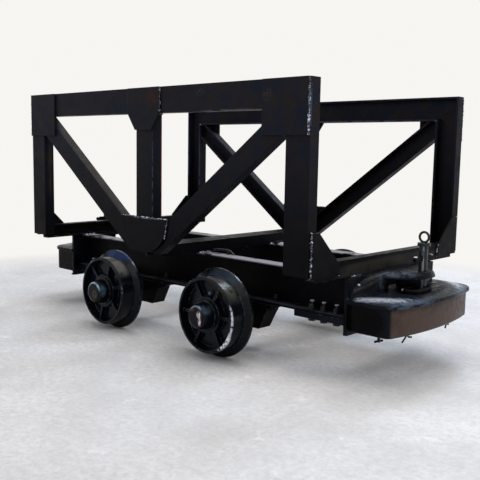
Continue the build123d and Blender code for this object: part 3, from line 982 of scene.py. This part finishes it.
@dataclass
class Chassis:
    """Bolts, lashing staples and welds of the sills."""
    sill_inner: float = 0.202
    sill_outer: float = 0.265
    sill_top: float = 0.365
    sill_bottom: float = 0.205
    flange: float = 0.01
    tail_bottom: float = 0.182
    tail_bolts: tuple[float, ...] = (0.638, 0.693, 0.752)
    tail_bolt_radius: float = 0.015
    pedestal_bolts: tuple[float, ...] = (0.193, 0.457)
    pedestal_bolt_radius: float = 0.0125
    pad_bottom: float = 0.191
    bolt_line: float = 0.235
    stud_rise: float = 0.0325
    staple: Path = ((0.07, 0.0, -0.002), (0.077, 0.0, 0.012), (0.115, 0.0, 0.016),
                    (0.16, 0.0, 0.018), (0.183, 0.0, 0.013), (0.2, 0.0, 0.0))
    staple_radius: float = 0.0042
    staple_stand: float = 0.004
    foot: Path = ((0.0, 0.0, -0.004), (0.0, 0.0, 0.006), (0.0, 0.0, 0.016))
    foot_radius: float = 0.00672
    foot_places: tuple[float, ...] = (0.084, 0.165)
    cross_edges: tuple[float, ...] = (0.787, 0.051)
    headstock_edge: float = 0.829
    tie_edges: tuple[Span, ...] = ((0.471, 0.34), (0.421, 0.25))
    tie_bottom: float = 0.24
    bead: float = 0.0036
    off: float = 0.001
    tuck: float = 0.004

    def build(self, bolts: GeometryTree, welds: GeometryTree) -> None:
        """Fit bolts, staples and welds.

        Args:
            bolts: Tree that puts a bolt at each point.
            welds: Tree that turns lines into beads.
        """
        seat = self.sill_bottom + self.flange
        glints = repeated([
            STUD_GLINT.moved((x, self.bolt_line, seat + self.stud_rise)) for x in self.tail_bolts
        ])
        paint = replace(BOLT_PAINT, marks=glints).material()
        for name, places, radius, low in (
            ("tail_bolts", self.tail_bolts, self.tail_bolt_radius, self.tail_bottom),
            ("pedestal_bolts", self.pedestal_bolts, self.pedestal_bolt_radius, self.pad_bottom),
        ):
            mesh = bpy.data.meshes.new(name)
            mesh.from_pydata([
                (x * end.value, self.bolt_line * side.value, seat)
                for end in End for side in Side for x in places
            ], [], [])
            piece = bolts.bake(mesh, name, paint, Radius=radius, Grip=seat - low)
            place_piece(piece, CAR)
        self.staples()
        self.seams(welds)

    def staples(self) -> None:
        """Bend the lashing staples and stand them on their feet."""
        y = -self.sill_inner - self.staple_stand
        steel = FORGED_STEEL.material()
        for name, path, places, radius in (
            ("lashing_staples", self.staple, (0.0,), self.staple_radius),
            ("staple_feet", self.foot, self.foot_places, self.foot_radius),
        ):
            paths = [[added(point, (x, y, self.sill_top)) for point in path] for x in places]
            place_piece(rod(name, mirrored(paths, ends=False), radius, steel), CAR)

    def seams(self, tree: GeometryTree) -> None:
        """Weld the cross members and ties to the sills.

        Args:
            tree: Tree that turns lines into beads.
        """
        inner, outer, off = -self.sill_inner, -self.sill_outer, self.off
        top, edge = self.sill_top, self.headstock_edge
        seams = [
            *([(x, inner, top + off), (x, outer, top + off)] for x in self.cross_edges),
            [(edge, inner - self.tuck, top), (edge, outer, top)],
            *([(x, inner + off, self.tie_bottom), (x, inner + off, high)]
              for x, high in self.tie_edges),
        ]
        lines = [(self.bead, line) for line in mirrored(seams)]
        lay_welds(tree, "chassis_welds", lines)


@dataclass
class Coupling:
    """Keys through the coupling pins, and keeper studs and cotters under the buffers."""
    pin_place: float = 0.962
    key_height: float = 0.421
    key_half: float = 0.066
    key_thickness: float = 0.011
    key_width: float = 0.021
    key_round: float = 0.002
    key_steps: int = 10
    block_bottom: float = 0.172
    stud_place: Span = (0.931, -0.232)
    stud: Path = ((0.0, 0.0, 0.006), (0.0, 0.0, -0.014), (0.0, 0.0, -0.031))
    stud_radius: float = 0.0055
    bar: Path = ((-0.005, -0.017, -0.028), (0.0, 0.0, -0.0262), (0.005, 0.017, -0.0265))
    bar_radius: float = 0.0042
    cotter_place: Span = (0.992, -0.151)
    cotter_legs: tuple[Path, ...] = (
        ((0.001, 0.0, 0.004), (0.0, 0.0, -0.014), (-0.003, -0.003, -0.02),
         (-0.01, -0.009, -0.037)),
        ((0.006, 0.002, 0.004), (0.004, 0.002, -0.012), (0.008, 0.008, -0.0155),
         (0.014, 0.015, -0.015)),
    )
    cotter_radius: float = 0.0032

    def build(self) -> None:
        """Make the keys, studs and cotters at both ends."""
        steel = KEY_STEEL.material()
        for end in End:
            place_piece(self.key(end, steel), CAR)
        paint = BOLT_PAINT.material()
        for name, paths, place, radius in (
            ("buffer_studs", (self.stud,), self.stud_place, self.stud_radius),
            ("stud_bars", (self.bar,), self.stud_place, self.bar_radius),
            ("cotter_pins", self.cotter_legs, self.cotter_place, self.cotter_radius),
        ):
            seat = (*place, self.block_bottom)
            corner = [[added(point, seat) for point in path] for path in paths]
            place_piece(rod(name, mirrored(corner), radius, paint), CAR)

    def key(self, end: End, steel: Material) -> Piece:
        """Flat key through a pin, with rounded ends and edges.

        Args:
            end: End of the car.
            steel: Material of the key.

        Returns:
            The key.
        """
        half = self.key_width / 2
        angles = [math.pi / 2 - math.pi * k / self.key_steps for k in range(self.key_steps + 1)]
        outline = [
            (way * (self.key_half - half + half * math.cos(angle)), way * half * math.sin(angle))
            for way in (1, -1) for angle in angles
        ]
        x = self.pin_place * end.value
        shape = bmesh.new()
        back, front = (
            [shape.verts.new((x + way * self.key_thickness / 2, y, self.key_height + z))
             for y, z in outline]
            for way in (-1, 1)
        )
        shape.faces.new(back[::-1])
        shape.faces.new(front)
        for side in zip(back, back[1:] + back[:1], front[1:] + front[:1], front):
            shape.faces.new(side)
        return solid(shape, f"{end.word}_pin_key", steel, self.key_round)


@dataclass
class Wheelsets:
    """Painted wheels and hub caps, with grease plugs."""
    half_base: float = 0.325
    centre_height: float = 0.175
    disc_face: float = 0.464
    plug_size: float = 0.0085
    plug_round: float = 0.0009
    plug_places: tuple[Span, Span] = ((0.05, 0.084), (0.8, 0.098))
    boss: Triple = (1.5, -0.001, 0.004)
    hexagon: Triple = (1.0, 0.003, 0.009)
    boss_sides: int = 24

    def build(self) -> None:
        """Paint both wheelsets and fit their plugs."""
        for end, (angle, reach) in zip(End, self.plug_places):
            axle = (self.half_base * end.value, 0.0, self.centre_height)
            paint = wheel_paint(end, axle).material()
            for name, node in frame["nodes"].items():
                if name.startswith(end.word) and name.endswith(("wheel", "hub_cap")):
                    coat(node.data, paint)
            middle = added(axle, (reach * math.sin(angle), 0.0, reach * math.cos(angle)))
            for side in Side:
                name = f"{end.word}_{side.name.lower()}_grease_plug"
                piece = self.plug(name, middle, side, paint)
                place_piece(piece, f"{end.word}_wheelset")

    def plug(self, name: str, middle: Point, side: Side, paint: Material) -> Piece:
        """Grease plug on a wheel's disc: a hexagon on a round boss.

        Args:
            name: Name of the plug.
            middle: Its place in the middle plane of the car.
            side: Side of the car.
            paint: Material of the wheel.

        Returns:
            The plug.
        """
        outward = Matrix.Rotation(math.pi / 2, 4, "X")
        shape = bmesh.new()
        for count, (share, start, height) in ((self.boss_sides, self.boss), (6, self.hexagon)):
            radius = share * self.plug_size
            shift = (0.0, side.value * (self.disc_face + start + height / 2), 0.0)
            bmesh.ops.create_cone(
                shape, cap_ends=True, segments=count, radius1=radius, radius2=radius,
                depth=height, matrix=Matrix.Translation(added(middle, shift)) @ outward,
            )
        return solid(shape, name, paint, self.plug_round)


# Studio

@dataclass(frozen=True)
class Lamp:
    """Square soft box."""
    name: str
    place: Point
    aim: Point
    size: float
    power: float
    colour: Colour = (1.0, 1.0, 1.0)

    def hang(self) -> None:
        """Hang the soft box."""
        data = bpy.data.lights.new(self.name, "AREA")
        data.shape = "SQUARE"
        data.size = self.size
        data.energy = self.power
        data.color = self.colour
        made = linked(self.name, data)
        made.location = self.place
        toward = Vector(self.aim) - Vector(self.place)
        made.rotation_euler = toward.to_track_quat("-Z", "Y").to_euler()
        made.visible_camera = False


@dataclass
class Studio:
    """Camera of the photograph, pale floor, backdrop and soft light."""
    place: Point = (2.2597, -2.3806, 0.8033)
    yaw: float = 43.0
    pitch: float = 7.1
    roll: float = 1.0
    lens: float = 54.165
    sensor: float = 36.0
    clip: Span = (0.05, 60.0)
    floor_reach: float = 14.0
    floor_sides: int = 96
    floor_colour: Colour = (0.79, 0.77, 0.775)
    floor_stain: Colour = (0.6, 0.58, 0.57)
    stains: Blotches = Blotches(2.6, 7.0, 0.68, (0.38, 0.62), (0.0, 0.7))
    specks: Blotches = Blotches(46.0, 6.0, 0.75, (0.4, 0.64), (0.0, 0.55))
    speck_shade: float = 0.66
    relief: Span = (0.25, 0.004)
    floor_roughness: float = 0.8
    floor_specular: float = 0.15
    scours: Blotches = Blotches(6.5, 8.0, 0.75, (0.6, 0.66), (0.0, 0.5))
    fade: Span = (1.9, 2.6)
    backdrop: Colour = (0.93, 0.915, 0.89)
    fill: Colour = (0.8, 0.84, 0.9)
    fill_strength: float = 0.45
    lamps: tuple[Lamp, ...] = (
        Lamp("overhead", (0.0, 0.2, 3.6), (0.0, 0.0, 0.4), 4.0, 95.0, (1.0, 0.98, 0.95)),
        Lamp("back_key", (0.1, 2.7, 3.3), (0.2, 0.0, 0.4), 1.1, 64.0, (0.66, 0.82, 1.0)),
        Lamp("front_box", (3.7, 0.4, 3.1), (0.2, 0.0, 0.5), 1.2, 50.0),
        Lamp("side_fill", (-0.6, -4.6, 2.4), (0.0, 0.0, 0.5), 2.4, 36.0),
    )

    def camera(self) -> None:
        """Set up the camera."""
        yaw, pitch, roll = (math.radians(a) for a in (self.yaw, self.pitch, self.roll))
        level = math.cos(pitch)
        ahead = Vector((-math.sin(yaw) * level, math.cos(yaw) * level, -math.sin(pitch)))
        right = Vector((math.cos(yaw), math.sin(yaw), 0.0))
        up = right.cross(ahead)
        right, up = (
            math.cos(roll) * right + math.sin(roll) * up,
            math.cos(roll) * up - math.sin(roll) * right,
        )
        data = bpy.data.cameras.new("camera")
        data.lens = self.lens
        data.sensor_width = self.sensor
        data.clip_start, data.clip_end = self.clip
        made = linked("camera", data)
        turn = Matrix((right, up, -ahead)).transposed().to_4x4()
        made.matrix_world = Matrix.Translation(self.place) @ turn
        bpy.context.scene.camera = made

    def floor(self) -> None:
        """Lay the floor."""
        shape = bmesh.new()
        bmesh.ops.create_circle(
            shape, cap_ends=True, segments=self.floor_sides, radius=self.floor_reach
        )
        solid(shape, "floor", self.ground())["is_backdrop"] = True

    def ground(self) -> Material:
        """Material of the floor, which fades into the plain backdrop away from the car.

        Returns:
            The material.
        """
        made = bpy.data.materials.new("ground")
        tree = ShaderTree(made, self.floor_colour)
        tree.cover(self.stains.share(tree), self.floor_stain)
        tree.cover(self.specks.share(tree), tuple(c * self.speck_shade for c in self.floor_colour))
        tree.cover(self.scours.share(tree), self.backdrop)
        bump = tree.add(
            "ShaderNodeBump",
            {"Strength": self.relief[0], "Distance": self.relief[1],
             "Height": self.specks.value(tree)},
        )
        solid_floor = tree.add(
            "ShaderNodeBsdfPrincipled",
            {"Base Color": tree.colour, "Roughness": self.floor_roughness,
             "Specular IOR Level": self.floor_specular, "Normal": bump.outputs[0]},
        )
        wall = tree.add("ShaderNodeEmission", {"Color": self.backdrop, "Strength": 1.0})
        away = tree.mapped(tree.length(tree.place), self.fade)
        share = tree.product(away, tree.seen())
        tree.finish(tree.add(
            "ShaderNodeMixShader", {0: share, 1: solid_floor.outputs[0], 2: wall.outputs[0]}
        ))
        return made

    def sky(self) -> None:
        """Set the world: dim light on the car, and the pale backdrop where it is seen."""
        world = bpy.data.worlds.new("studio")
        tree = ShaderTree(world)
        dim, plain = (
            tree.add("ShaderNodeBackground", {"Color": colour, "Strength": strength})
            for colour, strength in ((self.fill, self.fill_strength), (self.backdrop, 1.0))
        )
        tree.finish(tree.add(
            "ShaderNodeMixShader", {0: tree.seen(), 1: dim.outputs[0], 2: plain.outputs[0]}
        ))
        bpy.context.scene.world = world

    def build(self) -> None:
        """Set up the whole studio."""
        self.camera()
        self.floor()
        for lamp in self.lamps:
            lamp.hang()
        self.sky()
        bpy.context.scene.view_settings.view_transform = "Standard"


def dress_nodes() -> None:
    """Give every carried-over node the finish of its material slot, or its own."""
    finishes = {
        "frame_paint": FRAME_PAINT.material(),
        "chassis_paint": CHASSIS_PAINT.material(),
        "casting_paint": BUFFER_PAINT.material(),
        "forging": FORGED_STEEL.material(),
    }
    own = {
        **dict.fromkeys(("left_sill", "right_sill"), SILL_PAINT.material()),
        **dict.fromkeys(("front_coupling_link", "rear_coupling_link"), LINK_STEEL.material()),
        **dict.fromkeys(("middle_cross_member", "rear_cross_member"), finishes["chassis_paint"]),
        "front_cross_member": BEAM_PAINT.material(),
    }
    for part in frame["record"]["subparts"]:
        finish = own.get(part["node"], finishes.get(part["material_slot"]))
        if finish is not None:
            coat(frame["nodes"][part["node"]].data, finish)


def save_size() -> None:
    """Gather the CAD box and the box of the dressed car as plain lists."""
    boxes = {"cad": cad_box, "visual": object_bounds()}
    plain = {name: [list(corner) for corner in box] for name, box in boxes.items()}


def main() -> None:
    """Build the studio, then every sub-assembly in order."""
    logging.basicConfig(level=logging.INFO, format="%(name)s %(message)s")
    Studio().build()
    dress_nodes()
    welds, bolts = weld_tree(), bolt_tree()
    Trusses().build(welds)
    Chassis().build(bolts, welds)
    Coupling().build()
    Wheelsets().build()
    save_size()


if __name__ == "__main__":
    main()
